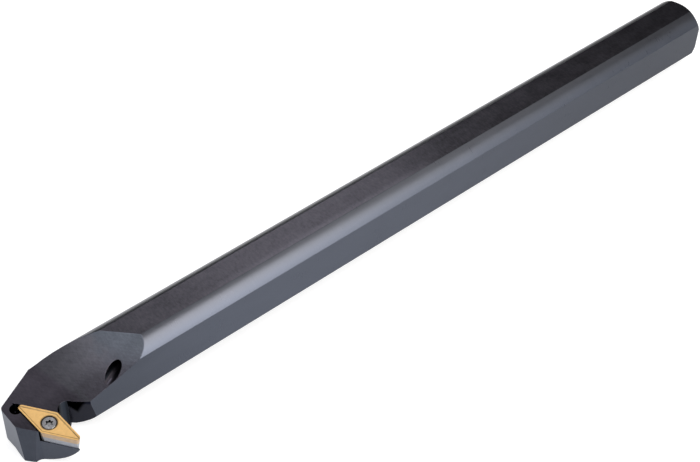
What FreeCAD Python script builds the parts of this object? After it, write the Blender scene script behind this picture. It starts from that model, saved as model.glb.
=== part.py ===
"""Indexable back-boring bar: a flatted steel shank, its milled head, one rhombic insert and its screw.

Millimetres. The origin is the middle of the rear end face, on the shank's axis. +X runs along the bar to the
head, +Z out of the flat that the insert faces, and the cutting nose points to +Y.
"""
import FreeCAD, Part
import math
import os
import re
import Sketcher

DOC = FreeCAD.newDocument("boring_bar")

# Driving sizes, in millimetres and degrees. A setback is measured from the head's front face towards the rear,
# a reach from the shank's axis towards the cutting nose.
SIZES = {
    # Shank
    "shank_diameter": 19.05,
    "bar_length": 253.4,
    "flat_depth": 0.795,
    "side_flat_depth": 1.71,
    "rear_chamfer": 1.0,
    # Head: a second, offset turning under the insert
    "head_offset": 5.5,
    "head_radius": 10.05,
    "head_length": 11.5,
    "head_taper_length": 2.0,
    # Bevel at the back of the head
    "bevel_angle": 25.7,
    "bevel_start": 3.6,
    "bevel_front_radius": 1.3,
    # Walls under the insert
    "front_wall_start": 2.85,
    "front_wall_angle": 51.0,
    "front_wall_lean": 5.5,
    "front_wall_length": 6.1,
    "side_wall_inset": 0.1,
    "step_radius": 2.0,
    "step_lead": 0.2,
    # Insert
    "inscribed_circle": 6.35,
    "nose_angle": 35.0,
    "nose_radius": 0.8,
    "side_corner_radius": 0.4,
    "insert_thickness": 3.97,
    "clearance_angle": 5.0,
    "insert_setback": 6.85,
    "insert_reach": 6.79,
    "insert_turn": 110.4,
    "insert_tilt": 7.0,
    "nose_height": 0.08,
    "insert_hole_diameter": 2.8,
    "countersink_diameter": 4.1,
    "countersink_angle": 60.0,
    "land_width": 0.35,
    "breaker_depth": 0.13,
    "breaker_slope": 65.0,
    # Seat
    "insert_proud": 0.4,
    "seat_clearance": 0.12,
    "relief_diameter": 3.0,
    "relief_along": 9.0,
    "relief_aside": 0.9,
    "relief_below_seat": 0.6,
    # Chip gullet
    "gullet_setback": 12.605,
    "gullet_reach": 5.956,
    "gullet_radius": 2.35,
    "gullet_start_angle": 11.2,
    "gullet_kink_angle": 121.4,
    "gullet_wall_angle": 43.1,
    "gullet_wall_lean": 8.0,
    "gullet_wall_band": 3.0,
    "support_inset": 0.75,
    # Run-out from the rake face to the top flat, ruled between a profile on the nose side and one at the back
    "runout_turn": 38.0,
    "runout_exit_angle": 36.0,
    "side_profile_offset": 30.0,
    "side_start": 2.15,
    "side_blend_radius": 15.0,
    "side_blend_angle": 2.6,
    "side_radius": 46.3,
    "back_profile_offset": 9.0,
    "back_start": 16.64,
    "back_blend_radius": 14.0,
    "back_blend_angle": 30.5,
    "back_radius": 463.0,
    # Screw
    "screw_diameter": 2.5,
    "screw_length": 7.6,
    "screw_head_diameter": 3.64,
    "screw_head_edge": 0.18,
    "screw_end_chamfer": 0.3,
    "socket_diameter": 2.06,
    "socket_waist": 1.5,
    "lobe_half_angle": 12.0,
    "lobe_radius": 0.19,
    "valley_radius": 0.375,
    "socket_depth": 1.0,
    "thread_clearance": 0.03,
    "thread_depth": 5.2,
    # Coolant
    "bore_diameter": 5.0,
    "bore_overrun": 1.0,
    "inlet_diameter": 8.7,
    "inlet_depth": 14.0,
    "drill_point_angle": 118.0,
    "outlet_diameter": 3.2,
    "outlet_setback": 25.8,
    "outlet_reach": 6.09,
    "outlet_height": 4.04,
    "outlet_turn": 28.6,
    "outlet_rise": 5.0,
    "outlet_overrun": 1.0,
    "outlet_run_in": 12.0,
}

# How far a cutting outline stands outside the steel, and the same for a turned cut.
BEYOND = 25.0
CLEAR = 1.0
LOBES = 6

HALF_NOSE = "(nose_angle / 2)"
HALF_LONG = f"(inscribed_circle / 2 / sin{HALF_NOSE})"
HALF_SHORT = f"(inscribed_circle / 2 / cos{HALF_NOSE})"
NOSE_REACH = f"({HALF_LONG} - nose_radius / sin{HALF_NOSE} + nose_radius)"
INSERT_HEIGHT = f"(nose_height + tan(insert_tilt) * {NOSE_REACH} * sin(insert_turn))"
RAKE_HEIGHT = f"({INSERT_HEIGHT} + tan(insert_tilt) * insert_reach - insert_proud / cos(insert_tilt))"
FLANK_DRAW = "(insert_thickness * tan(clearance_angle))"
FLAT_HEIGHT = "(shank_diameter / 2 - flat_depth)"
SIDE_REACH = "(shank_diameter / 2 - side_flat_depth)"
HALF_FLAT = f"sqrt((shank_diameter / 2)^2 - {FLAT_HEIGHT}^2)"
HALF_SIDE_FLAT = f"sqrt((shank_diameter / 2)^2 - {SIDE_REACH}^2)"
BORE_END = "(bar_length - outlet_setback - outlet_reach / tan(outlet_turn) + bore_overrun)"
OUTLET_DEPTH = "(outlet_reach / sin(outlet_turn) / cos(outlet_rise) + outlet_overrun)"


def make_sheet():
    """The sheet of driving sizes, one alias a row."""
    sheet = DOC.addObject("Spreadsheet::Sheet", "Sizes")
    for row, (alias, size) in enumerate(SIZES.items(), start=1):
        sheet.set(f"A{row}", alias)
        sheet.set(f"B{row}", str(size))
        sheet.setAlias(f"B{row}", alias)
    DOC.recompute()
    return sheet


SHEET = make_sheet()


def bound(text):
    """The expression with each size's name pointing into the sheet."""
    return re.sub(r"[a-z_]+", lambda found: "Sizes." + found[0] if found[0] in SIZES else found[0], str(text))


def value(text):
    """What the expression comes to, as a plain number."""
    result = SHEET.evalExpression(bound(text))
    return float(getattr(result, "Value", result))


def new_body(label):
    body = DOC.addObject("PartDesign::Body", label)
    body.Label = label
    return body


def new_sketch(body, name, role, base=("0", "0", "0"), turns=(), lift="0"):
    """A sketch on one of the body's origin planes, moved to base, turned by (axis, angle) pairs, then lifted."""
    sketch = body.newObject("Sketcher::SketchObject", name)
    plane = next(feature for feature in body.Origin.OriginFeatures if feature.Role == role)
    sketch.AttachmentSupport = [(plane, "")]
    sketch.MapMode = "FlatFace"
    turn = "rotation(vector(0; 0; 1); 0)"
    for axis, angle in turns:
        turn += f" * rotation(vector({axis}); {angle})"
    point = f"vector({base[0]}; {base[1]}; {base[2]})"
    raised = f"placement(vector(0; 0; {lift}); rotation(vector(0; 0; 1); 0))"
    sketch.setExpression("AttachmentOffset", bound(f"placement({point}; {turn}) * {raised}"))
    return sketch


ABOUT_X = "1; 0; 0"
ABOUT_Y = "0; 1; 0"
ABOUT_Z = "0; 0; 1"

# The rake face's own frame, its X along the run-out.
RAKE_BASE = ("bar_length", "0", RAKE_HEIGHT)
RAKE_TURNS = [(ABOUT_X, "-insert_tilt"), (ABOUT_Z, "180 + runout_turn")]


def arc_between(start, end, radius):
    """The arc shorter than a half turn from start to end: counter-clockwise where the radius is positive."""
    chord = end - start
    side = FreeCAD.Vector(-chord.y, chord.x, 0).normalize()
    rise = math.sqrt(max(radius ** 2 - (chord.Length / 2) ** 2, 0.0))
    centre = (start + end) / 2 + side * math.copysign(rise, radius)
    first, last = (start, end) if radius > 0 else (end, start)
    angles = [math.atan2(point.y - centre.y, point.x - centre.x) for point in (first, last)]
    circle = Part.Circle(centre, FreeCAD.Vector(0, 0, 1), abs(radius))
    return Part.ArcOfCircle(circle, angles[0], angles[1])


def draw_outline(sketch, corners):
    """A closed outline through the corners (x, y, radius of the arc that leads on, or None for a line)."""
    points = [FreeCAD.Vector(value(x), value(y), 0) for x, y, radius in corners]
    ends = []
    for index, (x, y, radius) in enumerate(corners):
        start, end = points[index], points[(index + 1) % len(points)]
        if radius is None:
            piece = sketch.addGeometry(Part.LineSegment(start, end))
            ends.append((piece, 1, 2))
            continue
        signed = value(radius)
        piece = sketch.addGeometry(arc_between(start, end, signed))
        ends.append((piece, 1, 2) if signed > 0 else (piece, 2, 1))
        size = sketch.addConstraint(Sketcher.Constraint("Radius", piece, abs(signed)))
        sketch.setExpression(f"Constraints[{size}]", bound(f"abs({radius})"))
    for index, (x, y, radius) in enumerate(corners):
        piece, start, end = ends[index]
        before, first, last = ends[index - 1]
        sketch.addConstraint(Sketcher.Constraint("Coincident", before, last, piece, start))
        for kind, text, number in (("DistanceX", x, points[index].x), ("DistanceY", y, points[index].y)):
            place = sketch.addConstraint(Sketcher.Constraint(kind, -1, 1, piece, start, number))
            sketch.setExpression(f"Constraints[{place}]", bound(text))


def draw_circle(sketch, x, y, diameter):
    centre = FreeCAD.Vector(value(x), value(y), 0)
    ring = sketch.addGeometry(Part.Circle(centre, FreeCAD.Vector(0, 0, 1), value(diameter) / 2))
    for kind, text, number in (("DistanceX", x, centre.x), ("DistanceY", y, centre.y)):
        place = sketch.addConstraint(Sketcher.Constraint(kind, -1, 1, ring, 3, number))
        sketch.setExpression(f"Constraints[{place}]", bound(text))
    size = sketch.addConstraint(Sketcher.Constraint("Diameter", ring, value(diameter)))
    sketch.setExpression(f"Constraints[{size}]", bound(diameter))


def add_feature(body, kind, name, profile, **settings):
    """A sketch-based feature: a setting given as text is an expression over the sizes, any other is set as it is."""
    feature = body.newObject("PartDesign::" + kind, name)
    feature.Profile = profile
    for setting, amount in settings.items():
        if isinstance(amount, str) and setting in ("Length", "Length2", "TaperAngle"):
            feature.setExpression(setting, bound(amount))
        else:
            setattr(feature, setting, amount)
    DOC.recompute()
    return feature


def cut_through(body, name, profile):
    """A pocket through the steel on both sides of its sketch."""
    return add_feature(body, "Pocket", name, profile, SideType="Symmetric", Length=f"4 * {BEYOND}")


def round_off(body, name, test, radius):
    """A fillet on the edges of the body's last feature that pass the test."""
    base = body.Tip
    edges = [f"Edge{number}" for number, edge in enumerate(base.Shape.Edges, start=1) if test(edge)]
    feature = body.newObject("PartDesign::Fillet", name)
    feature.Base = (base, edges)
    feature.setExpression("Radius", bound(radius))
    DOC.recompute()
    return feature


def edge_near(edge, x, y):
    """Whether the edge is upright and stands at this place on the plan."""
    upright = edge.BoundBox.XLength < CLEAR / 2 and edge.BoundBox.YLength < CLEAR / 2
    middle = edge.valueAt((edge.FirstParameter + edge.LastParameter) / 2)
    return upright and math.hypot(middle.x - x, middle.y - y) < CLEAR / 2


def rectangle(left, low, right, high):
    return [(left, low, None), (right, low, None), (right, high, None), (left, high, None)]


def insert_frame(upright=False):
    """Base and turns of the insert's top plane, its X towards the nose: upright turns it to hold the screw's axis."""
    base = ("bar_length - insert_setback", "insert_reach", INSERT_HEIGHT)
    turns = [(ABOUT_X, "-insert_tilt"), (ABOUT_Z, "insert_turn")]
    return {"base": base, "turns": turns + [(ABOUT_X, "90")] if upright else turns}


def make_shank(body):
    """Round bar with a top, a bottom and a side flat, chamfered at the rear."""
    section = new_sketch(body, "shank_section", "YZ_Plane")
    turn = "-shank_diameter / 2"
    draw_outline(section, [
        (f"-{HALF_FLAT}", FLAT_HEIGHT, None),
        (HALF_FLAT, FLAT_HEIGHT, turn),
        (SIDE_REACH, HALF_SIDE_FLAT, None),
        (SIDE_REACH, f"-{HALF_SIDE_FLAT}", turn),
        (HALF_FLAT, f"-{FLAT_HEIGHT}", None),
        (f"-{HALF_FLAT}", f"-{FLAT_HEIGHT}", turn),
    ])
    add_feature(body, "Pad", "shank", section, Length="bar_length")

    cone = new_sketch(body, "rear_chamfer_profile", "XZ_Plane")
    draw_outline(cone, [
        (-CLEAR, f"shank_diameter / 2 - rear_chamfer - {CLEAR}", None),
        (f"rear_chamfer + {CLEAR}", f"shank_diameter / 2 + {CLEAR}", None),
        (-CLEAR, f"shank_diameter / 2 + {CLEAR}", None),
    ])
    add_feature(body, "Groove", "rear_chamfer", cone, ReferenceAxis=(cone, ["H_Axis"]))


def make_head(body):
    """The offset turning that carries the insert out of the side of the bar, with its cone back to the shank."""
    profile = new_sketch(body, "head_profile", "XZ_Plane", base=("0", "0", "-head_offset"))
    end = "bar_length - head_length"
    draw_outline(profile, [
        (f"{end} - head_taper_length", "0", None),
        ("bar_length", "0", None),
        ("bar_length", "head_radius", None),
        (end, "head_radius", None),
        (f"{end} - head_taper_length", "head_radius - head_taper_length", None),
    ])
    add_feature(body, "Revolution", "offset_turning", profile, ReferenceAxis=(profile, ["H_Axis"]))


def cut_bevel(body):
    """The bevel behind the head, rounded to the front face."""
    bevel = new_sketch(body, "bevel_outline", "XY_Plane", ("bar_length", "-bevel_start", "0"),
                       [(ABOUT_Z, "bevel_angle")])
    draw_outline(bevel, rectangle(-BEYOND, -BEYOND, BEYOND, "0"))
    cut_through(body, "bevel", bevel)
    front = value("bar_length")
    round_off(body, "bevel_front_edge", lambda edge: edge_near(edge, front, -value("bevel_start")), "bevel_front_radius")


def trim_head(body):
    """The leaning front wall, and the side wall that stays inside the insert's lower edge."""

    front = new_sketch(body, "front_wall_outline", "XY_Plane", ("bar_length", "front_wall_start", INSERT_HEIGHT),
                       [(ABOUT_Z, "90 - front_wall_angle"), (ABOUT_Y, "-front_wall_lean")])
    draw_outline(front, rectangle("0", -BEYOND, BEYOND, "front_wall_length"))
    cut_through(body, "front_wall", front)

    side = new_sketch(body, "side_wall_outline", "XY_Plane", ("bar_length - insert_setback", "insert_reach", "0"),
                      [(ABOUT_Z, f"insert_turn - 90 + {HALF_NOSE}")])
    wall = f"(inscribed_circle / 2 - {FLANK_DRAW} - side_wall_inset)"
    lead = f"(-{HALF_SHORT} * sin{HALF_NOSE} - step_lead)"
    draw_outline(side, [
        (BEYOND, f"{lead} - step_radius", None),
        (BEYOND, BEYOND, None),
        (wall, BEYOND, None),
        (wall, lead, "step_radius"),
        (f"{wall} + step_radius", f"{lead} - step_radius", None),
    ])
    cut_through(body, "side_wall", side)


def cut_gullet(body):
    """The chip gullet behind the insert: a round root, a straight leaning wall, open below."""
    plan = new_sketch(body, "gullet_plan", "XY_Plane", ("bar_length", "0", "0"))
    slant = f"(insert_turn + 90 - {HALF_NOSE})"
    behind = "(inscribed_circle / 2 - support_inset)"
    start_x, kink_x = (f"(-gullet_setback + gullet_radius * cos(gullet_{end}_angle))" for end in ("start", "kink"))
    start_y, kink_y = (f"(gullet_reach - gullet_radius * sin(gullet_{end}_angle))" for end in ("start", "kink"))

    def support(reach):
        """The setback of the support's rear wall at this reach, as a negative X."""
        return f"-insert_setback + ({behind} - sin{slant} * ({reach} - insert_reach)) / cos{slant}"

    draw_outline(plan, [
        (support(start_y), start_y, None),
        (start_x, start_y, "-gullet_radius"),
        (kink_x, kink_y, None),
        (f"{kink_x} - {BEYOND} * cos(gullet_wall_angle)", f"{kink_y} + {BEYOND} * sin(gullet_wall_angle)", None),
        (support(BEYOND), BEYOND, None),
    ])
    cut_through(body, "gullet", plan)

    wall = new_sketch(body, "gullet_wall_outline", "XY_Plane",
                      (f"bar_length + {kink_x}", kink_y, "0"),
                      [(ABOUT_Z, "180 - gullet_wall_angle - 90"), (ABOUT_Y, "gullet_wall_lean")])
    draw_outline(wall, rectangle("0", "0", "gullet_wall_band", BEYOND))
    cut_through(body, "gullet_wall", wall)


def runout_profile(body, end, lift):
    """The blend and the rising arc of the run-out, in a plane across it at one end of its rulings."""
    sketch = new_sketch(body, f"{end}_profile", "XY_Plane", RAKE_BASE, RAKE_TURNS + [(ABOUT_X, "90")], lift)
    blend, angle, radius = f"{end}_blend_radius", f"{end}_blend_angle", f"{end}_radius"
    blend_end = f"{end}_start + {blend} * sin({angle})"
    blend_rise = f"{blend} * (1 - cos({angle}))"
    exit_end = f"{blend_end} + {radius} * (sin(runout_exit_angle) - sin({angle}))"
    exit_rise = f"{blend_rise} + {radius} * (cos({angle}) - cos(runout_exit_angle))"
    draw_outline(sketch, [
        (f"{end}_start", "0", blend),
        (blend_end, blend_rise, radius),
        (exit_end, exit_rise, None),
        (exit_end, BEYOND, None),
        (f"{end}_start", BEYOND, None),
    ])
    return sketch


def cut_rake_face(body):
    """The tilted face round the insert and the long concave run-out that rises from it to the top flat."""
    face = new_sketch(body, "rake_face_outline", "XY_Plane", RAKE_BASE, RAKE_TURNS)
    draw_outline(face, [
        ("side_start", "-side_profile_offset", None),
        ("back_start", "back_profile_offset", None),
        (-BEYOND, "back_profile_offset", None),
        (-BEYOND, "-side_profile_offset", None),
    ])
    add_feature(body, "Pocket", "rake_face", face, Length=BEYOND, Reversed=True)
    side = runout_profile(body, "side", "side_profile_offset")
    back = runout_profile(body, "back", "-back_profile_offset")
    add_feature(body, "SubtractiveLoft", "runout", side, Sections=[back], Ruled=True)


def cut_seat(body):
    """The insert's seat, open at both nose sides, with its corner relief and the screw's threaded hole."""
    seat = new_sketch(body, "seat_outline", "XY_Plane", **insert_frame())
    corner = f"(-({HALF_LONG} + seat_clearance / sin{HALF_NOSE}))"
    far = f"({corner} + {BEYOND} * cos{HALF_NOSE})"
    wide = f"({BEYOND} * sin{HALF_NOSE})"
    draw_outline(seat, [(corner, "0", None), (far, f"-{wide}", None), (far, wide, None)])
    add_feature(body, "Pocket", "seat", seat, Length="insert_thickness")

    relief = new_sketch(body, "relief_circle", "XY_Plane", **insert_frame())
    draw_circle(relief, "-relief_along", "-relief_aside", "relief_diameter")
    add_feature(body, "Pocket", "corner_relief", relief, Length="insert_thickness + relief_below_seat")

    thread = new_sketch(body, "thread_circle", "XY_Plane", **insert_frame())
    draw_circle(thread, "0", "0", "screw_diameter + 2 * thread_clearance")
    add_feature(body, "Pocket", "screw_thread", thread, Length="insert_thickness + thread_depth")


def cut_coolant(body):
    """The bore along the bar with its wider threaded inlet, and the slanting outlet on the run-out."""
    profile = new_sketch(body, "bore_profile", "XZ_Plane")
    point = "/ 2 / tan(drill_point_angle / 2)"
    draw_outline(profile, [
        (-CLEAR, "0", None),
        (f"{BORE_END} + bore_diameter {point}", "0", None),
        (BORE_END, "bore_diameter / 2", None),
        (f"inlet_depth + (inlet_diameter - bore_diameter) {point}", "bore_diameter / 2", None),
        ("inlet_depth", "inlet_diameter / 2", None),
        (-CLEAR, "inlet_diameter / 2", None),
    ])
    add_feature(body, "Groove", "coolant_bore", profile, ReferenceAxis=(profile, ["H_Axis"]))

    outlet = new_sketch(body, "outlet_circle", "XY_Plane",
                        ("bar_length - outlet_setback", "outlet_reach", "outlet_height"),
                        [(ABOUT_Z, "outlet_turn"), (ABOUT_Y, "90 - outlet_rise")])
    draw_circle(outlet, "0", "0", "outlet_diameter")
    add_feature(body, "Pocket", "coolant_outlet", outlet, SideType="Two sides",
                Length=OUTLET_DEPTH, Length2="outlet_run_in")


def make_bar_body():
    body = new_body("bar_body")
    make_shank(body)
    make_head(body)
    cut_bevel(body)
    trim_head(body)
    cut_gullet(body)
    cut_rake_face(body)
    cut_seat(body)
    cut_coolant(body)
    return body


def make_cutting_insert():
    """A 35 degree rhombus with rounded noses, 5 degree flanks, a sunk top inside its land, and its screw hole."""
    body = new_body("cutting_insert")
    plan = new_sketch(body, "insert_plan", "XY_Plane", **insert_frame())
    nose_x = f"({HALF_LONG} - nose_radius * cos{HALF_NOSE}^2 / sin{HALF_NOSE})"
    nose_y = f"(nose_radius * cos{HALF_NOSE})"
    side_x = f"(side_corner_radius * sin{HALF_NOSE})"
    side_y = f"({HALF_SHORT} - side_corner_radius * tan{HALF_NOSE} * sin{HALF_NOSE})"
    draw_outline(plan, [
        (nose_x, f"-{nose_y}", "nose_radius"),
        (nose_x, nose_y, None),
        (side_x, side_y, "side_corner_radius"),
        (f"-{side_x}", side_y, None),
        (f"-{nose_x}", nose_y, "nose_radius"),
        (f"-{nose_x}", f"-{nose_y}", None),
        (f"-{side_x}", f"-{side_y}", "side_corner_radius"),
        (side_x, f"-{side_y}", None),
    ])
    add_feature(body, "Pad", "insert_blank", plan, Length="insert_thickness", TaperAngle="-clearance_angle",
                Reversed=True)
    breaker = new_sketch(body, "breaker_outline", "XY_Plane", **insert_frame())
    long_in = f"({HALF_LONG} - land_width / sin{HALF_NOSE})"
    short_in = f"({HALF_SHORT} - land_width / cos{HALF_NOSE})"
    draw_outline(breaker, [(long_in, "0", None), ("0", short_in, None), (f"-{long_in}", "0", None),
                           ("0", f"-{short_in}", None)])
    add_feature(body, "Pocket", "chip_breaker", breaker, Length="breaker_depth", TaperAngle="-breaker_slope")

    hole = new_sketch(body, "insert_hole_profile", "XY_Plane", **insert_frame(upright=True))
    cone = "(countersink_diameter - insert_hole_diameter) / 2 / tan(countersink_angle / 2)"
    draw_outline(hole, [
        ("0", CLEAR, None),
        ("0", f"-insert_thickness - {CLEAR}", None),
        ("insert_hole_diameter / 2", f"-insert_thickness - {CLEAR}", None),
        ("insert_hole_diameter / 2", f"-{cone}", None),
        ("countersink_diameter / 2", "0", None),
        ("countersink_diameter / 2", CLEAR, None),
    ])
    add_feature(body, "Groove", "insert_hole", hole, ReferenceAxis=(hole, ["V_Axis"]))
    return body


def make_clamp_screw():
    """A countersunk screw whose cone lies on the insert's, with a six-lobe socket."""
    body = new_body("clamp_screw")
    profile = new_sketch(body, "screw_profile", "XY_Plane", **insert_frame(upright=True))

    def on_cone(diameter):
        return f"-(countersink_diameter - {diameter}) / 2 / tan(countersink_angle / 2)"

    draw_outline(profile, [
        ("0", "-screw_length", None),
        ("screw_diameter / 2 - screw_end_chamfer", "-screw_length", None),
        ("screw_diameter / 2", "-screw_length + screw_end_chamfer", None),
        ("screw_diameter / 2", on_cone("screw_diameter"), None),
        ("screw_head_diameter / 2", on_cone("screw_head_diameter"), None),
        ("screw_head_diameter / 2 - screw_head_edge", f"{on_cone('screw_head_diameter')} + screw_head_edge", None),
        ("0", f"{on_cone('screw_head_diameter')} + screw_head_edge", None),
    ])
    add_feature(body, "Revolution", "screw_blank", profile, ReferenceAxis=(profile, ["V_Axis"]))

    socket = new_sketch(body, "socket_outline", "XY_Plane", **insert_frame())
    middle = "((socket_diameter + socket_waist) / 4)"
    corners = []
    for lobe in range(LOBES):
        for side, radius in (("-", "lobe_radius"), ("+", "-valley_radius")):
            angle = f"({lobe} * 360 / {LOBES} {side} lobe_half_angle)"
            corners.append((f"{middle} * cos{angle}", f"{middle} * sin{angle}", radius))
    draw_outline(socket, corners)
    add_feature(body, "Pocket", "six_lobe_socket", socket, Length="socket_depth")
    return body


def check_and_export(bodies):
    DOC.recompute()
    for thing in DOC.Objects:
        if "Invalid" in thing.State or "Error" in thing.State:
            raise RuntimeError(f"{thing.Label} did not build: {thing.State}")
    for body in bodies:
        if body.Shape.isNull() or not body.Shape.isValid() or len(body.Shape.Solids) != 1:
            raise RuntimeError(f"{body.Label} is not one sound solid")
    os.makedirs("parts", exist_ok=True)
    for body in bodies:
        body.Shape.exportStep(f"parts/{body.Label}.step")
        box = body.Shape.BoundBox
        print(f"{body.Label}: {body.Shape.Volume:.1f} mm3, {box}")


check_and_export([make_bar_body(), make_cutting_insert(), make_clamp_screw()])
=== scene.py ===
"""Finishes and stage of an indexable back-boring bar: blackened steel, a gold insert and a bright screw."""
import math

import bpy
from mathutils import Matrix, Quaternion, Vector


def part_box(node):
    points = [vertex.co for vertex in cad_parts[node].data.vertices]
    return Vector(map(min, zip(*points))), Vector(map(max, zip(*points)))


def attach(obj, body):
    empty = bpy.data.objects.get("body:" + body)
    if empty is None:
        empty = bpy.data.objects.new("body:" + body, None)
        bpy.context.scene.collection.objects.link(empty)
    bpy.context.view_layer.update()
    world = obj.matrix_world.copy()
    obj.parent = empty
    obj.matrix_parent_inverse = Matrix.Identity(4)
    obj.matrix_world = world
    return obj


bl_info = {
    "name": "Boring bar finishes",
    "version": (1, 0, 0),
    "blender": (4, 5, 0),
    "location": "3D View > Sidebar > Boring Bar",
    "description": "Steel, coating and thread of a back-boring bar, with its studio stage",
    "category": "Object",
}

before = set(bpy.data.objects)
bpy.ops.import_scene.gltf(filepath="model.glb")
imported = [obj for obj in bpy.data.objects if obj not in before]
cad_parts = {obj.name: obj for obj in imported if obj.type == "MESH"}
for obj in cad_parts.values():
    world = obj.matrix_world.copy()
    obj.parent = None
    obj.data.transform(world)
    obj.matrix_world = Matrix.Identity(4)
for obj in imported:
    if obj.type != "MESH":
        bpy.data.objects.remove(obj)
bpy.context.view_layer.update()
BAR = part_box("bar_body")

MILLIMETRE = 0.001
BAR_LENGTH = BAR[1].x / MILLIMETRE
EVEN = (1.0, 1.0, 1.0)
SEAT_TILT = math.radians(7.0)

# Borders of the masks below: each gives where a mask begins and where it is full. Lengths are in millimetres.

# Part of the surface's normal along an axis
TURNS = {
    "square": (0.985, 0.997),
    "upward": (0.72, 0.84),
    "shoulder": (0.6, 0.9),
    "run_out": (0.2, 0.38),
    "root": (0.78, 0.9),
    "root_lit": (0.93, 0.99),
    "pool": (0.9, 0.78),
    "rearward": (-0.05, -0.2),
    "front": (0.97, 0.995),
    "off_front": (0.97, 0.93),
    "upright": (0.6, 0.4),
    "bevel": (0.4, 0.6),
}
# Back from the bar's front end
BACK = {
    "head": (48.0, 44.0),
    "bore": (28.0, 36.0),
    "gullet_rear": (19.3, 19.1),
    "gullet_front": (9.9, 10.1),
    "warm": (29.5, 24.5),
    "outlet": (24.0, 29.0),
    "towards_front": (62.0, 14.0),
    "bevel": (3.8, 3.5),
    "front": (0.3, 0.1),
}
# Along the bar from its rear end
ALONG = {
    "sheen_rear": (108.0, 130.0),
    "sheen_front": (215.0, 165.0),
    "far_side": (175.0, -10.0),
    "far_flat": (132.0, 106.0),
    "near_flat": (182.0, 208.0),
}
# From the bar's axis: outward, to the nose side or up
FROM_AXIS = {
    "inside_shank": (9.5, 9.42),
    "under_top": (8.72, 8.6),
    "bore": (4.6, 4.4),
    "gullet_side": (2.9, 3.2),
    "gullet_top": (2.6, 2.4),
    "low_side": (-1.0, 4.0),
    "low_corner": (6.0, 3.0),
    "nose": (-1.5, -2.0),
    "outlet_side": (1.5, 4.0),
    "sheen_side": (1.6, 3.7),
}
# Heights from the insert's top plane
DEPTHS = {
    "land_top": (-0.015, -0.04),
    "land_foot": (-0.12, -0.09),
    "breaker": (-0.3, -0.2),
    "ring": (-0.25, -0.2),
    "flank": (-0.17, -0.22),
    "countersink": (-0.12, -0.2),
    "socket": (-0.42, -0.6),
}
# Outward from the middle of the insert's hole
HOLE = {
    "ring": (2.3, 2.03),
    "countersink": (1.98, 1.9),
    "rim": (1.6, 1.76),
    "socket": (1.12, 1.0),
    "socket_middle": (0.8, 0.5),
}

# Steel: how far under a flat's plane its finish reaches, the relief hole and the wedge in the gullet that are painted
# unlit black as shadow, the painted light on the gullet's root, how far a blotch wanders along the run-out, and how
# the milling marks run
SKIN = (0.1, 0.03)
RELIEF_WALL = (1.6, 1.52)
RELIEF_MOUTH = (-0.05, -0.2)
POOL_MIDDLE = 5.0
POOL_SLOPE = -2.2
POOL_BORDER = (-4.5, -2.7)
UNLIT_COLOUR = (0.0, 0.0, 0.0005)
ROOT_LIGHT = 1.8
BLOTCH_SIZE = 9.0
MILLING_TURN = math.radians(-50.0)

# Steel: grinding on the round shank and on the side flat, then clouds, sand and roughness on smooth and on rough
# faces, milling marks, rubbed edges, and the painted shade that dims upright faces towards the front and on the bevels
GRIND_TONES = (0.13, 0.04)
CLOUD_TONES = (0.16, 0.62)
SAND_TONES = (0.13, 0.95)
STEEL_ROUGHNESS = (0.3, 0.4)
RAKE_ROUGHNESS_SHARE = 0.6
MILLING_TONE = 0.3
MILLING_RELIEF = 0.3
GRINDING_RELIEF = 0.45
RUBBED_TONE = 0.4
RUBBED_SPOTS = (0.35, 0.62)
FRONTWARD_DIMMING = 0.3
BEVEL_DIMMING = 0.42

# How closely the soft normal follows the face: where an edge begins and where it is full
STEEL_EDGE = (0.985, 0.86)
HONED_EDGE = (0.985, 0.88)
BEVEL_SAMPLES = 6

# Insert: its rhombus, its chip breaker's line with its painted shade, and the parts of its flanks that lie in the dark
# and are painted dark
INSCRIBED_RADIUS = 3.175
HALF_NOSE_ANGLE = math.radians(17.5)
BREAKER_OUTSIDE = (0.28, 0.42)
BREAKER_INSIDE = (0.75, 0.5)
BREAKER_TONES = (0.26, 0.42)
SHARP_CORNER = (5.6, 6.8)
NOSE_LIGHT = (1.0, 6.0)
BARE_BLUR = 0.04
SEATED_LEAN = 0.11
SEATED_BORDER = (0.12, -0.03)
SEATED_TURN = (0.4, 0.5)
GULLET_TURN = (0.93, 0.98)
SEATED_COLOUR = (0.006, 0.006, 0.007)
INSERT_ROUGHNESS = (0.42, 0.34)
INSERT_METALLIC = 0.15
CARBIDE_GRIND_TONE = 0.2
INSERT_EDGE_WIDTH = 0.00006

# Screw: roughness of its head and in its socket, its rounded edges, and how metallic the socket's floor is
SCREW_ROUGHNESS = (0.3, 0.6)
SCREW_EDGE_WIDTH = 0.00005
SOCKET_FLOOR_METALLIC = 0.2

# Thread of the inlet: half of the ridge's foot as a share of the pitch, and what merges and smooths its mesh
RIDGE_SHARE = 0.42
MERGE_DISTANCE = 0.000001
SMOOTH_ANGLE = math.radians(35.0)

# Stage: the flag's ends along the bar, the room's dark parts by direction, and the camera's sensor and reach
FLAG_ENDS = (-0.35, 0.4)
FLAG_COLOUR = (0.01, 0.01, 0.012, 1.0)
ROOM_REAR = (-0.68, -0.42)
ROOM_LOW = (0.0, 0.35)
SENSOR_WIDTH = 36.0
CLIP_DISTANCES = (0.01, 50.0)

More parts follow.
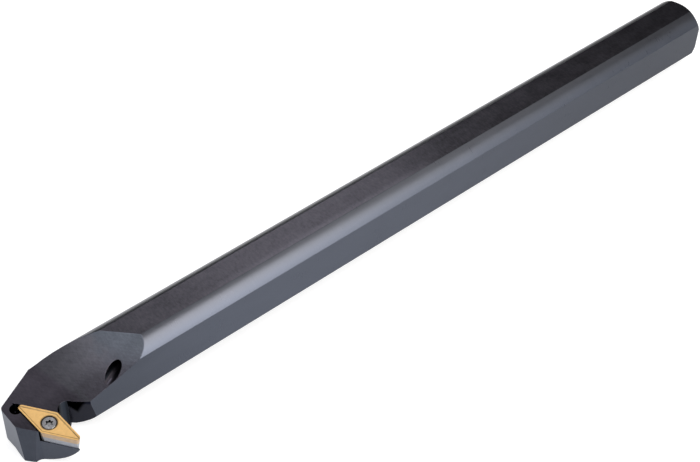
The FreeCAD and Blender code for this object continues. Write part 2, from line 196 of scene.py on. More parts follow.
# Lamps: name, place, aim, width and height, brightness, colour
SOFTBOXES = [
    ("side_softbox", (-0.06, 0.553, 0.456), (-0.06, 0.0, 0.0), (0.42, 0.68), 3.85, (1.0, 0.95, 0.88)),
    ("side_softbox_second", (-0.36, 0.595, 0.4), (-0.36, 0.0, 0.0), (0.18, 0.6), 1.7, (1.0, 0.95, 0.88)),
    ("side_softbox_third", (-0.575, 0.595, 0.4), (-0.575, 0.0, 0.0), (0.25, 0.6), 0.75, (1.0, 0.96, 0.9)),
    ("side_softbox_last", (-0.85, 0.553, 0.456), (-0.85, 0.0, 0.0), (0.3, 0.68), 0.3, (1.0, 0.97, 0.92)),
    ("rear_fill", (-0.235, -0.49, 0.6), (-0.235, -0.49, 0.0), (0.19, 0.3), 2.8, (1.0, 0.98, 1.0)),
    ("far_fill", (-0.4, 0.21, 0.7), (-0.4, 0.21, 0.0), (0.5, 0.26), 0.88, (1.0, 0.95, 0.87)),
    ("head_fill", (0.49, 0.19, 0.7), (0.49, 0.19, 0.0), (0.32, 0.36), 2.4, (0.96, 0.98, 1.0)),
]
TOP_SOFTBOX = ("top_softbox", (0.14, 0.0, 0.8), (0.14, 0.0, 0.0), (0.5, 0.5))
WHITE = (1.0, 1.0, 1.0)


# Settings


class SteelSettings(bpy.types.PropertyGroup):
    """The blackened steel of the shank and the head."""

    ground_colour: bpy.props.FloatVectorProperty(
        name="Ground colour", description="Blackened steel on the round shank and the side flat",
        subtype="COLOR", size=3, min=0.0, max=1.0, default=(0.104, 0.1175, 0.1535))
    shoulder_colour: bpy.props.FloatVectorProperty(
        name="Shoulder colour", description="Colour of the round shank where it turns up to the top flat",
        subtype="COLOR", size=3, min=0.0, max=1.0, default=(0.109, 0.116, 0.139))
    flat_colour: bpy.props.FloatVectorProperty(
        name="Flat colour", description="Browner blackening on the top and bottom flats",
        subtype="COLOR", size=3, min=0.0, max=1.0, default=(0.118, 0.1145, 0.135))
    rake_colour: bpy.props.FloatVectorProperty(
        name="Rake colour", description="Dark milled face round the insert and its run-out",
        subtype="COLOR", size=3, min=0.0, max=1.0, default=(0.105, 0.097, 0.12))
    runout_colour: bpy.props.FloatVectorProperty(
        name="Run-out colour", description="Cooler blackening on the concave run-out",
        subtype="COLOR", size=3, min=0.0, max=1.0, default=(0.094, 0.103, 0.123))
    runout_warm_colour: bpy.props.FloatVectorProperty(
        name="Run-out warm colour", description="Browner blotches of the blackening on the run-out",
        subtype="COLOR", size=3, min=0.0, max=1.0, default=(0.116, 0.115, 0.133))
    # Painted shade: the chip gullet's colour, near black and bluish
    gullet_shade_colour: bpy.props.FloatVectorProperty(
        name="Gullet colour", description="Bluish blackening that pools in the chip gullet",
        subtype="COLOR", size=3, min=0.0, max=1.0, default=(0.006, 0.008, 0.024))
    # Painted shade on the gullet's rounded root, lifted by painted light where it faces the side
    root_shade_colour: bpy.props.FloatVectorProperty(
        name="Root colour", description="Rounded root of the chip gullet",
        subtype="COLOR", size=3, min=0.0, max=1.0, default=(0.023, 0.029, 0.041))
    # Painted shade on the walls of the coolant bore
    bore_shade_colour: bpy.props.FloatVectorProperty(
        name="Bore colour", description="Oily dark walls of the coolant bore",
        subtype="COLOR", size=3, min=0.0, max=1.0, default=(0.03, 0.031, 0.035))
    flat_height: bpy.props.FloatProperty(
        name="Flat height", description="Height of the top flat over the shank's axis",
        subtype="DISTANCE", unit="LENGTH", default=0.00873)
    side_flat_reach: bpy.props.FloatProperty(
        name="Side flat reach", description="How far the side flat lies from the shank's axis",
        subtype="DISTANCE", unit="LENGTH", default=0.007815)
    grind_spacing: bpy.props.FloatProperty(
        name="Grind spacing", description="Typical distance between grinding marks across the shank",
        subtype="DISTANCE", unit="LENGTH", default=0.00028)
    relief_place: bpy.props.FloatVectorProperty(
        name="Relief place", description="Mouth of the relief hole at the seat's corner",
        subtype="TRANSLATION", unit="LENGTH", size=3, default=(0.250531, -0.001271, 0.002071))
    edge_width: bpy.props.FloatProperty(
        name="Edge width", description="How wide the rubbed edges are",
        subtype="DISTANCE", unit="LENGTH", default=0.00016)


class InsertSettings(bpy.types.PropertyGroup):
    """The coated carbide insert."""

    centre: bpy.props.FloatVectorProperty(
        name="Centre", description="Middle of the insert's top plane",
        subtype="TRANSLATION", unit="LENGTH", size=3, default=(0.24655, 0.00679, 0.001081))
    tilt: bpy.props.FloatProperty(
        name="Tilt", description="Lean of the insert's top plane to the nose side",
        subtype="ANGLE", default=SEAT_TILT)
    turn: bpy.props.FloatProperty(
        name="Turn", description="Turn of the long diagonal from the bar's axis",
        subtype="ANGLE", default=math.radians(110.4))
    thickness: bpy.props.FloatProperty(
        name="Thickness", description="Thickness of the insert",
        subtype="DISTANCE", unit="LENGTH", default=0.00397)
    coating_colour: bpy.props.FloatVectorProperty(
        name="Coating colour", description="Gold coating on the top",
        subtype="COLOR", size=3, min=0.0, max=1.0, default=(0.745, 0.465, 0.172))
    flank_colour: bpy.props.FloatVectorProperty(
        name="Flank colour", description="Thin coating on the upper half of the flanks",
        subtype="COLOR", size=3, min=0.0, max=1.0, default=(0.86, 0.61, 0.38))
    carbide_colour: bpy.props.FloatVectorProperty(
        name="Carbide colour", description="Bare ground carbide on the lower half of the flanks",
        subtype="COLOR", size=3, min=0.0, max=1.0, default=(0.46, 0.49, 0.56))
    countersink_colour: bpy.props.FloatVectorProperty(
        name="Countersink colour", description="Shaded coating down in the screw's countersink",
        subtype="COLOR", size=3, min=0.0, max=1.0, default=(0.06, 0.045, 0.035))


class ScrewSettings(bpy.types.PropertyGroup):
    """The clamping screw."""

    plating_colour: bpy.props.FloatVectorProperty(
        name="Plating colour", description="Bright turned head of the screw",
        subtype="COLOR", size=3, min=0.0, max=1.0, default=(0.56, 0.56, 0.57))
    # Painted shade on the walls of the six-lobe socket
    socket_shade_colour: bpy.props.FloatVectorProperty(
        name="Socket colour", description="Dark walls of the six-lobe socket",
        subtype="COLOR", size=3, min=0.0, max=1.0, default=(0.04, 0.04, 0.043))
    socket_floor_colour: bpy.props.FloatVectorProperty(
        name="Socket floor colour", description="Dull bottom of the six-lobe socket",
        subtype="COLOR", size=3, min=0.0, max=1.0, default=(0.3, 0.3, 0.31))
    turning_spacing: bpy.props.FloatProperty(
        name="Turning spacing", description="Distance between the turning rings on the head",
        subtype="DISTANCE", unit="LENGTH", default=0.00009)


class ThreadSettings(bpy.types.PropertyGroup):
    """The thread of the coolant inlet."""

    inlet_radius: bpy.props.FloatProperty(
        name="Inlet radius", description="Radius of the inlet's wall",
        subtype="DISTANCE", unit="LENGTH", default=0.00435)
    ridge_height: bpy.props.FloatProperty(
        name="Ridge height", description="How far the thread's ridge stands out of the wall",
        subtype="DISTANCE", unit="LENGTH", default=0.00028)
    pitch: bpy.props.FloatProperty(
        name="Pitch", description="Distance between two turns of the thread",
        subtype="DISTANCE", unit="LENGTH", default=0.000907)
    start: bpy.props.FloatProperty(
        name="Start", description="Where the first turn begins, from the rear end face",
        subtype="DISTANCE", unit="LENGTH", default=0.0007)
    turns: bpy.props.IntProperty(
        name="Turns", description="Number of turns", min=1, default=12)
    facets: bpy.props.IntProperty(
        name="Facets", description="Straight steps in one turn", min=12, default=64)


class StageSettings(bpy.types.PropertyGroup):
    """Camera, lamps and floor."""

    camera_place: bpy.props.FloatVectorProperty(
        name="Camera place", description="Where the camera stands",
        subtype="TRANSLATION", unit="LENGTH", size=3, default=(0.346394, 0.212711, 0.272749))
    camera_view: bpy.props.FloatVectorProperty(
        name="Camera view", description="Direction in which the camera looks",
        subtype="DIRECTION", size=3, default=(-0.502066, -0.527336, -0.685453))
    camera_roll: bpy.props.FloatProperty(
        name="Camera roll", description="Turn of the picture about the line of sight",
        subtype="ANGLE", default=math.radians(2.32))
    lens: bpy.props.FloatProperty(
        name="Lens", description="Focal length in millimetres on a 36 mm sensor", unit="CAMERA", default=74.57)
    floor_colour: bpy.props.FloatVectorProperty(
        name="Floor colour", description="Pale studio floor",
        subtype="COLOR", size=3, min=0.0, max=1.0, default=(0.4, 0.403, 0.41))
    floor_glow: bpy.props.FloatProperty(
        name="Floor glow", description="Lift that brings the floor to white for the eye",
        min=0.0, default=0.78)
    floor_in_metal: bpy.props.FloatProperty(
        name="Floor in metal", description="How bright the floor is in the metal",
        min=0.0, default=0.92)
    flag_place: bpy.props.FloatProperty(
        name="Flag place", description="Where the black card stands behind the bar",
        subtype="DISTANCE", unit="LENGTH", default=-0.08)
    flag_height: bpy.props.FloatProperty(
        name="Flag height", description="Height of the black card",
        subtype="DISTANCE", unit="LENGTH", default=0.047)
    top_brightness: bpy.props.FloatProperty(
        name="Top brightness", description="Soft light from above that isn't seen in the metal",
        min=0.0, default=2.8)
    floor_size: bpy.props.FloatProperty(
        name="Floor size", description="Side of the floor",
        subtype="DISTANCE", unit="LENGTH", default=12.0)
    ceiling_colour: bpy.props.FloatVectorProperty(
        name="Ceiling colour", description="Dim room over the stage",
        subtype="COLOR", size=3, min=0.0, max=1.0, default=(0.38, 0.375, 0.385))
    rear_dimming: bpy.props.FloatProperty(
        name="Rear dimming", description="Share of the room's light that is left behind the rear end",
        min=0.0, max=1.0, default=0.06)
    horizon_dimming: bpy.props.FloatProperty(
        name="Horizon dimming", description="Share of the room's light that is left near the floor",
        min=0.0, max=1.0, default=0.3)


SETTINGS = {
    "bar_steel": SteelSettings,
    "bar_insert": InsertSettings,
    "bar_screw": ScrewSettings,
    "bar_thread": ThreadSettings,
    "bar_stage": StageSettings,
}


# Node trees


def add_node(tree, kind, inputs=None, **settings):
    """A shader node with its settings; an input is a plain amount or another node's socket."""
    node = tree.nodes.new("ShaderNode" + kind)
    for name, amount in settings.items():
        setattr(node, name, amount)
    for name, source in (inputs or {}).items():
        if isinstance(source, bpy.types.NodeSocket):
            tree.links.new(source, node.inputs[name])
        else:
            node.inputs[name].default_value = source
    return node


def calculate(tree, operation, first, second=0.0, third=0.0):
    """The outcome of one Math node."""
    return add_node(tree, "Math", {0: first, 1: second, 2: third}, operation=operation).outputs[0]


def times(tree, first, *others):
    """Product of the amounts."""
    for other in others:
        first = calculate(tree, "MULTIPLY", first, other)
    return first


def summed(tree, start, terms):
    """The start and all the terms, each an amount times its strength."""
    for amount, strength in terms:
        start = calculate(tree, "MULTIPLY_ADD", amount, strength, start)
    return start


def positive(tree, amount):
    """The amount without its sign."""
    return calculate(tree, "ABSOLUTE", amount)


def without(tree, share):
    """What a share leaves of the whole."""
    return calculate(tree, "SUBTRACT", 1.0, share)


def uneven(tree, noise):
    """A noise, which runs from 0 to 1, made to swing about 0."""
    return calculate(tree, "SUBTRACT", noise, 0.5)


def distance(tree, first, second):
    """Length of the hypotenuse over the two amounts."""
    squares = calculate(tree, "MULTIPLY_ADD", first, first, calculate(tree, "MULTIPLY", second, second))
    return calculate(tree, "SQRT", squares)


def parts(tree, vector):
    """The three parts of a vector."""
    return add_node(tree, "SeparateXYZ", {0: vector}).outputs


def ramp(tree, amount, begin, full):
    """0 at begin and 1 at full, smooth between them; begin may be the higher of the two."""
    inputs = {"Value": amount, "From Min": begin, "From Max": full}
    return add_node(tree, "MapRange", inputs, interpolation_type="SMOOTHSTEP").outputs[0]


def back(tree, along, name):
    """A ramp along the bar whose border is given back from the front end."""
    begin, full = BACK[name]
    return ramp(tree, along, BAR_LENGTH - begin, BAR_LENGTH - full)


def between(tree, share, start, end):
    """Start where the share is 0 and end where it is 1."""
    return add_node(tree, "MapRange", {"Value": share, "To Min": start, "To Max": end}).outputs[0]


def blended(tree, share, first, second):
    """The first colour where share is 0 and the second where it is 1."""
    mix = add_node(tree, "Mix", {0: share}, data_type="RGBA")
    for index, colour in ((6, first), (7, second)):
        if isinstance(colour, bpy.types.NodeSocket):
            tree.links.new(colour, mix.inputs[index])
        else:
            mix.inputs[index].default_value = (*colour, 1.0)
    return mix.outputs[2]


def shaded(tree, colour, share):
    """The colour made darker or lighter by a factor."""
    return add_node(tree, "VectorMath", {0: colour, "Scale": share}, operation="SCALE").outputs[0]


def in_millimetres(tree, stretch=EVEN, centre=(0.0, 0.0, 0.0), turn=(0.0, 0.0, 0.0)):
    """Place on the piece in millimetres from centre, in a turned frame, times stretch on each axis."""
    place = add_node(tree, "TexCoord").outputs["Object"]
    sizes = Vector([MILLIMETRE / part for part in stretch])
    inputs = {"Vector": place, "Location": centre, "Rotation": turn, "Scale": sizes}
    return add_node(tree, "Mapping", inputs, vector_type="TEXTURE").outputs[0]


def grain(tree, stretch, scale, detail, roughness, **own):
    """A noise of so many marks per millimetre, fewer along an axis whose stretch is under 1."""
    inputs = {"Vector": in_millimetres(tree, stretch, **own), "Scale": scale, "Detail": detail, "Roughness": roughness}
    return add_node(tree, "TexNoise", inputs).outputs[0]


def soft_normal(tree, width):
    """The normal with edges rounded to this width."""
    return add_node(tree, "Bevel", {"Radius": width}, samples=BEVEL_SAMPLES).outputs[0]


def bent(tree, normal, border):
    """1 on edges, where the soft normal turns away from the face's own."""
    own_normal = add_node(tree, "NewGeometry").outputs["Normal"]
    bend = add_node(tree, "VectorMath", {0: normal, 1: own_normal}, operation="DOT_PRODUCT").outputs["Value"]
    return ramp(tree, bend, *border)


def new_material(name):
    """An empty material with its shader: the material, its tree and the shader node."""
    material, tree = empty_material(name)
    shader = add_node(tree, "BsdfPrincipled")
    add_node(tree, "OutputMaterial", {"Surface": shader.outputs[0]})
    return material, tree, shader


def empty_material(name):
    """A material with no nodes, and its tree."""
    material = bpy.data.materials.new(name)
    material.use_nodes = True
    material.node_tree.nodes.clear()
    return material, material.node_tree


def dress_shader(tree, shader, colour, roughness):
    """Links the colour and the roughness to the shader."""
    tree.links.new(colour, shader.inputs["Base Color"])
    tree.links.new(roughness, shader.inputs["Roughness"])


def raise_relief(tree, shader, height, normal, strength, depth):
    """Links a relief to the shader, on top of the soft normal; a height of 1 stands depth metres out of the face."""
    bump = add_node(tree, "Bump", {"Strength": strength, "Distance": depth, "Height": height, "Normal": normal})
    tree.links.new(bump.outputs[0], shader.inputs["Normal"])


def dress(piece, material):
    """Gives the piece this one material."""
    piece.data.materials.clear()
    piece.data.materials.append(material)


# Finishes


def blackened_steel(settings):
    """Ground and blackened steel: another grain and tone on each kind of surface, with painted shade and light by
    place.
    """
    material, tree, shader = new_material("blackened_steel")
    on = BarSurfaces(tree, settings)
    grains = SteelGrains(tree, settings)
    normal = soft_normal(tree, settings.edge_width)
    rough_share = calculate(tree, "MAXIMUM", on.flats, times(tree, on.rake, RAKE_ROUGHNESS_SHARE))
    grind_share = between(tree, on.side_flat, *GRIND_TONES)
    rubbed = times(tree, bent(tree, normal, STEEL_EDGE), ramp(tree, grains.speckle, *RUBBED_SPOTS))
    tone = summed(tree, 1.0, [
        (uneven(tree, grains.grinding), grind_share),
        (uneven(tree, grains.clouds), between(tree, rough_share, *CLOUD_TONES)),
        (uneven(tree, grains.sand), between(tree, rough_share, *SAND_TONES)),
        (uneven(tree, grains.milling), times(tree, on.rake, MILLING_TONE)),
        (rake_shade(tree, on), on.rake),
        *shank_shades(tree, on),
        (rubbed, RUBBED_TONE),
    ])
    roughness = summed(tree, between(tree, rough_share, *STEEL_ROUGHNESS), [
        (uneven(tree, grains.grinding), 0.09),
        (uneven(tree, grains.clouds), 0.1),
    ])
    relief = summed(tree, 0.0, [
        (grains.grinding, times(tree, grind_share, GRINDING_RELIEF)),
        (grains.speckle, 0.14),
        (grains.milling, times(tree, on.rake, MILLING_RELIEF)),
    ])
    dress_shader(tree, shader, shaded(tree, steel_colour(tree, settings, on, grains), tone), roughness)
    raise_relief(tree, shader, relief, normal, strength=0.35, depth=0.00004)
    tree.links.new(without(tree, on.unlit), shader.inputs["Metallic"])
    shader.inputs["Specular IOR Level"].default_value = 0.0
    return material


class BarSurfaces:
    """Where a point of the bar body is and which way it faces, and its kinds of surface: 1 on them and 0 off them."""

    def __init__(self, tree, settings):
        flat = settings.flat_height / MILLIMETRE
        side = settings.side_flat_reach / MILLIMETRE
        self.along, self.aside, self.up = parts(tree, in_millimetres(tree))
        self.outward = distance(tree, self.aside, self.up)
        self.turn_ahead, self.turn_aside, self.turn_up = parts(tree, add_node(tree, "TexCoord").outputs["Normal"])

        self.flats = times(tree, ramp(tree, positive(tree, self.turn_up), *TURNS["square"]),
                           ramp(tree, positive(tree, self.up), flat - SKIN[0], flat - SKIN[1]))
        self.side_flat = times(tree, ramp(tree, self.turn_aside, *TURNS["square"]),
                               ramp(tree, self.aside, side - SKIN[0], side - SKIN[1]))
        self.rake = times(tree, ramp(tree, self.turn_up, *TURNS["upward"]), without(tree, self.flats),
                          back(tree, self.along, "head"), ramp(tree, self.outward, *FROM_AXIS["inside_shank"]),
                          ramp(tree, self.up, *FROM_AXIS["under_top"]))
        self.bore = times(tree, ramp(tree, self.outward, *FROM_AXIS["bore"]), back(tree, self.along, "bore"))
        self.gullet = times(tree, back(tree, self.along, "gullet_rear"), back(tree, self.along, "gullet_front"),
                            ramp(tree, self.aside, *FROM_AXIS["gullet_side"]),
                            ramp(tree, self.up, *FROM_AXIS["gullet_top"]),
                            without(tree, self.rake), without(tree, self.side_flat))
        # Painted shadow: the relief hole and a wedge in the gullet are painted unlit black, with no metal
        self.unlit = calculate(tree, "MAXIMUM", self.in_relief(tree, settings), self.in_painted_shadow(tree))

    def in_relief(self, tree, settings):
        """The inside of the relief hole at the seat's corner, where unlit black is painted as shadow."""
        place = in_millimetres(tree, centre=settings.relief_place, turn=(-SEAT_TILT, 0.0, 0.0))
        across, over, deep = parts(tree, place)
        return times(tree, ramp(tree, distance(tree, across, over), *RELIEF_WALL), ramp(tree, deep, *RELIEF_MOUTH))

    def in_painted_shadow(self, tree):
        """The painted black shadow: a wedge at the top of the gullet's rear wall."""
        off_middle = positive(tree, calculate(tree, "SUBTRACT", self.aside, POOL_MIDDLE))
        wedge = summed(tree, self.up, [(off_middle, POOL_SLOPE)])
        return times(tree, ramp(tree, wedge, *POOL_BORDER), ramp(tree, self.turn_aside, *TURNS["pool"]), self.gullet)


class SteelGrains:
    """Noises of the steel."""

    def __init__(self, tree, settings):
        spacing = settings.grind_spacing / MILLIMETRE
        self.grinding = grain(tree, (1.0, 0.06, 0.06), scale=1.0 / spacing, detail=4.0, roughness=0.62)
        self.clouds = grain(tree, (0.5, 1.0, 1.0), scale=0.22, detail=3.0, roughness=0.55)
        self.speckle = grain(tree, EVEN, scale=5.5, detail=2.0, roughness=0.6)
        self.sand = grain(tree, (1.0, 0.4, 1.0), scale=1.9, detail=4.0, roughness=0.7)
        self.tint = grain(tree, EVEN, scale=0.35, detail=2.0, roughness=0.5)
        self.milling = grain(tree, (0.08, 1.0, 0.2), scale=2.6, detail=3.0, roughness=0.5,
                             turn=(0.0, 0.0, MILLING_TURN))


def steel_colour(tree, settings, on, grains):
    """Colour of the blackening on each kind of surface, with painted shade in the gullet, the bore and the relief
    hole, and painted light on the gullet's root.
    """
    shank = blended(tree, ramp(tree, on.turn_up, *TURNS["shoulder"]), settings.ground_colour, settings.shoulder_colour)
    colour = blended(tree, on.flats, shank, settings.flat_colour)
    blotched = summed(tree, on.along, [(uneven(tree, grains.tint), BLOTCH_SIZE)])
    run_out = blended(tree, back(tree, blotched, "warm"), settings.runout_colour, settings.runout_warm_colour)
    milled = blended(tree, ramp(tree, on.turn_ahead, *TURNS["run_out"]), settings.rake_colour, run_out)
    colour = blended(tree, on.rake, colour, milled)
    # Painted light on the gullet's root where it faces the side, over the painted shade of the gullet
    lit = between(tree, ramp(tree, on.turn_aside, *TURNS["root_lit"]), 1.0, ROOT_LIGHT)
    root = shaded(tree, settings.root_shade_colour, lit)
    gullet = blended(tree, ramp(tree, on.turn_aside, *TURNS["root"]), settings.gullet_shade_colour, root)
    colour = blended(tree, on.gullet, colour, gullet)
    # Painted shade in the coolant bore
    colour = blended(tree, on.bore, colour, settings.bore_shade_colour)
    return blended(tree, on.unlit, colour, UNLIT_COLOUR)


def rake_shade(tree, on):
    """Shade on the milled faces of the head: darker low down and beside the outlet, lighter on what turns rearward."""
    low = times(tree, ramp(tree, on.aside, *FROM_AXIS["low_side"]), ramp(tree, on.up, *FROM_AXIS["low_corner"]))
    outlet = times(tree, ramp(tree, on.aside, *FROM_AXIS["outlet_side"]), back(tree, on.along, "outlet"))
    return summed(tree, 0.0, [
        (low, -0.3),
        (ramp(tree, on.up, *FROM_AXIS["nose"]), -0.55),
        (ramp(tree, on.turn_ahead, *TURNS["rearward"]), 1.0),
        (outlet, -0.15),
    ])


def shank_shades(tree, on):
    """Painted shade and light by place on the flats, the front, the bevels and the head's sides: pairs of a mask and
    its strength.
    """
    # Painted highlight on the flats, on their half towards the side flat, along the middle of the bar
    painted_flat_sheen = times(tree, ramp(tree, on.along, *ALONG["sheen_rear"]), ramp(tree, on.along, *ALONG["sheen_front"]),
                 ramp(tree, on.aside, *FROM_AXIS["sheen_side"]), on.flats)
    # Painted shade on the side flat and the flats towards the rear, and on the flats near the front
    far_side = times(tree, on.side_flat, ramp(tree, on.along, *ALONG["far_side"]))
    far_flat = times(tree, on.flats, ramp(tree, on.along, *ALONG["far_flat"]))
    near_flat = times(tree, on.flats, ramp(tree, on.along, *ALONG["near_flat"]))
    # Painted highlight on the front face; painted shade on upright faces towards the front and on the bevels
    front = times(tree, ramp(tree, on.turn_ahead, *TURNS["front"]), back(tree, on.along, "front"))
    upright = times(tree, ramp(tree, positive(tree, on.turn_up), *TURNS["upright"]),
                    ramp(tree, on.turn_ahead, *TURNS["off_front"]))
    bevel = times(tree, back(tree, on.along, "bevel"), ramp(tree, on.turn_ahead, *TURNS["bevel"]))
    frontward = back(tree, on.along, "towards_front")
    dimming = calculate(tree, "MAXIMUM", times(tree, frontward, FRONTWARD_DIMMING), times(tree, bevel, BEVEL_DIMMING))
    return [(painted_flat_sheen, 0.38), (far_side, -0.44), (far_flat, -0.38), (near_flat, -0.15), (front, 0.25),
            (times(tree, upright, dimming), -1.0)]


def insert_frame(settings):
    """Centre and turn of the insert's own frame, its X towards the nose and its Z out of the top."""
    turn = Matrix.Rotation(-settings.tilt, 3, "X") @ Matrix.Rotation(settings.turn, 3, "Z")
    return {"centre": tuple(settings.centre), "turn": tuple(turn.to_euler("XYZ"))}


def coated_carbide(settings):
    """Gold coating on the top, thinning on the flanks to bare ground carbide below the middle, with painted shade on
    the chip breaker's step, round the hole and on the flanks in the dark.
    """
    material, tree, shader = new_material("coated_carbide")
    own = insert_frame(settings)
    along, aside, up = parts(tree, in_millimetres(tree, **own))
    outward = distance(tree, along, aside)
    middle = -settings.thickness / MILLIMETRE / 2
    clouds = grain(tree, EVEN, scale=0.9, detail=3.0, roughness=0.5, **own)
    speckle = grain(tree, EVEN, scale=9.0, detail=3.0, roughness=0.6, **own)
    grinding = grain(tree, (0.12, 0.12, 1.0), scale=9.0, detail=2.0, roughness=0.5, **own)

    flank = ramp(tree, up, *DEPTHS["flank"])
    bare = ramp(tree, up, middle + BARE_BLUR, middle - BARE_BLUR)
    # Painted shade on the step down from the land to the chip breaker
    step_shade = times(tree, ramp(tree, up, *DEPTHS["land_top"]), ramp(tree, up, *DEPTHS["land_foot"]))
    sunk = times(tree, ramp(tree, outward, *HOLE["countersink"]), ramp(tree, up, *DEPTHS["countersink"]))
    # Painted shade: a dark ring on the top at the mouth of the screw's countersink
    shaded_ring = times(tree, ramp(tree, outward, *HOLE["ring"]), ramp(tree, up, *DEPTHS["ring"]))
    colour = blended(tree, flank, settings.coating_colour, settings.flank_colour)
    colour = blended(tree, bare, colour, settings.carbide_colour)
    colour = blended(tree, sunk, colour, settings.countersink_colour)
    colour = blended(tree, seated_flank(tree, along, up, flank), colour, SEATED_COLOUR)

    normal = soft_normal(tree, INSERT_EDGE_WIDTH)
    tone = summed(tree, 1.0, [
        (uneven(tree, clouds), 0.34),
        (uneven(tree, speckle), 0.2),
        (step_shade, -0.25),
        (breaker_shade_line(tree, along, aside, up), -1.0),
        (shaded_ring, -0.75),
        (uneven(tree, grinding), times(tree, bare, CARBIDE_GRIND_TONE)),
        (times(tree, bare, ramp(tree, along, *NOSE_LIGHT)), 0.16),
        (bent(tree, normal, HONED_EDGE), 0.28),
    ])
    roughness = summed(tree, between(tree, bare, *INSERT_ROUGHNESS), [(uneven(tree, speckle), 0.2)])
    relief = summed(tree, 0.0, [(speckle, 0.6), (grinding, bare)])
    dress_shader(tree, shader, shaded(tree, colour, tone), roughness)
    raise_relief(tree, shader, relief, normal, strength=0.3, depth=0.00002)
    shader.inputs["Metallic"].default_value = INSERT_METALLIC
    return material


def seated_flank(tree, along, up, flank):
    """The flank's rear part, down in the seat, and the flank that faces the gullet: both lie in the dark."""
    turn_ahead, turn_aside, _ = parts(tree, add_node(tree, "TexCoord").outputs["Normal"])
    leaning = summed(tree, along, [(up, SEATED_LEAN)])
    seated = times(tree, ramp(tree, leaning, *SEATED_BORDER), ramp(tree, turn_aside, *SEATED_TURN), flank)
    return calculate(tree, "MAXIMUM", seated, ramp(tree, turn_ahead, *GULLET_TURN))


def breaker_shade_line(tree, along, aside, up):
    """Painted shade along the pressed line of the chip breaker, a little inside the rhombus, deeper at its two sharp
    corners.
    """
    reach = positive(tree, along)
    inset = summed(tree, INSCRIBED_RADIUS, [
        (reach, -math.sin(HALF_NOSE_ANGLE)),
        (positive(tree, aside), -math.cos(HALF_NOSE_ANGLE)),
    ])
    strength = between(tree, ramp(tree, reach, *SHARP_CORNER), *BREAKER_TONES)
    return times(tree, ramp(tree, inset, *BREAKER_OUTSIDE), ramp(tree, inset, *BREAKER_INSIDE), strength,
                 ramp(tree, up, *DEPTHS["breaker"]))


def bright_steel(settings, own):
    """Plated screw steel with fine turning rings, rough down in its socket, with painted shade on the socket's walls
    and on the head's outer rim.
    """
    material, tree, shader = new_material("bright_steel")
    along, aside, up = parts(tree, in_millimetres(tree, **own))
    outward = distance(tree, along, aside)
    rings = calculate(tree, "SINE", times(tree, outward, math.tau * MILLIMETRE / settings.turning_spacing))
    speckle = grain(tree, EVEN, scale=7.0, detail=3.0, roughness=0.6, **own)
    sunk = times(tree, ramp(tree, up, *DEPTHS["socket"]), ramp(tree, outward, *HOLE["socket"]))
    middle = times(tree, sunk, ramp(tree, outward, *HOLE["socket_middle"]))
    # Painted shade on the socket's walls
    colour = blended(tree, sunk, settings.plating_colour, settings.socket_shade_colour)
    colour = blended(tree, middle, colour, settings.socket_floor_colour)
    tone = summed(tree, 1.0, [
        (uneven(tree, speckle), 0.3),
        (rings, 0.05),
        # Painted shade: the outer rim of the head is darker
        (ramp(tree, outward, *HOLE["rim"]), -0.6),
    ])
    roughness = summed(tree, between(tree, sunk, *SCREW_ROUGHNESS), [(uneven(tree, speckle), 0.25)])
    dress_shader(tree, shader, shaded(tree, colour, tone), roughness)
    raise_relief(tree, shader, rings, soft_normal(tree, SCREW_EDGE_WIDTH), strength=0.25, depth=0.00001)
    tree.links.new(between(tree, middle, 1.0, SOCKET_FLOOR_METALLIC), shader.inputs["Metallic"])
    return material


# Operators


class FinishBarBody(bpy.types.Operator):
    """Blacken the shank and the head"""

    bl_idname = "boring_bar.finish_bar_body"
    bl_label = "Finish bar body"

    def execute(self, context):
        dress(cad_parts["bar_body"], blackened_steel(context.scene.bar_steel))
        return {"FINISHED"}


class FinishInsert(bpy.types.Operator):
    """Coat the cutting insert"""

    bl_idname = "boring_bar.finish_insert"
    bl_label = "Finish cutting insert"

    def execute(self, context):
        dress(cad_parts["cutting_insert"], coated_carbide(context.scene.bar_insert))
        return {"FINISHED"}


class FinishScrew(bpy.types.Operator):
    """Plate the clamping screw"""

    bl_idname = "boring_bar.finish_screw"
    bl_label = "Finish clamping screw"

    def execute(self, context):
        own = insert_frame(context.scene.bar_insert)
        dress(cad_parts["clamp_screw"], bright_steel(context.scene.bar_screw, own))
        return {"FINISHED"}


class CutInletThread(bpy.types.Operator):
    """Wind the thread of the coolant inlet inside its wall"""

    bl_idname = "boring_bar.cut_inlet_thread"
    bl_label = "Cut inlet thread"

    def execute(self, context):
        settings = context.scene.bar_thread
        radius = settings.inlet_radius
        half = settings.pitch * RIDGE_SHARE
        bpy.ops.object.select_all(action="DESELECT")
        bpy.ops.mesh.primitive_circle_add(vertices=3, radius=half, location=(settings.start, 0.0, radius))
        thread = context.object
        thread.name = "inlet_thread"
        bpy.ops.object.transform_apply(location=True, rotation=True, scale=True)
        corners = ((-half, 0.0), (0.0, -settings.ridge_height), (half, 0.0))
        for vertex, (along, inward) in zip(thread.data.vertices, corners):
            vertex.co = (settings.start + along, 0.0, radius + inward)
        winding = thread.modifiers.new("winding", "SCREW")
        winding.axis = "X"
        winding.angle = math.tau
        winding.screw_offset = settings.pitch
        winding.iterations = settings.turns
        winding.steps = winding.render_steps = settings.facets
        winding.use_merge_vertices = False
        bpy.ops.object.modifier_apply(modifier=winding.name)
        bpy.ops.object.mode_set(mode="EDIT")
        bpy.ops.mesh.select_all(action="SELECT")
        bpy.ops.mesh.remove_doubles(threshold=MERGE_DISTANCE)
        bpy.ops.mesh.normals_make_consistent(inside=False)
        bpy.ops.object.mode_set(mode="OBJECT")
        bpy.ops.object.shade_smooth_by_angle(angle=SMOOTH_ANGLE)
        dress(thread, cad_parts["bar_body"].data.materials[0])
        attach(thread, "root")
        return {"FINISHED"}


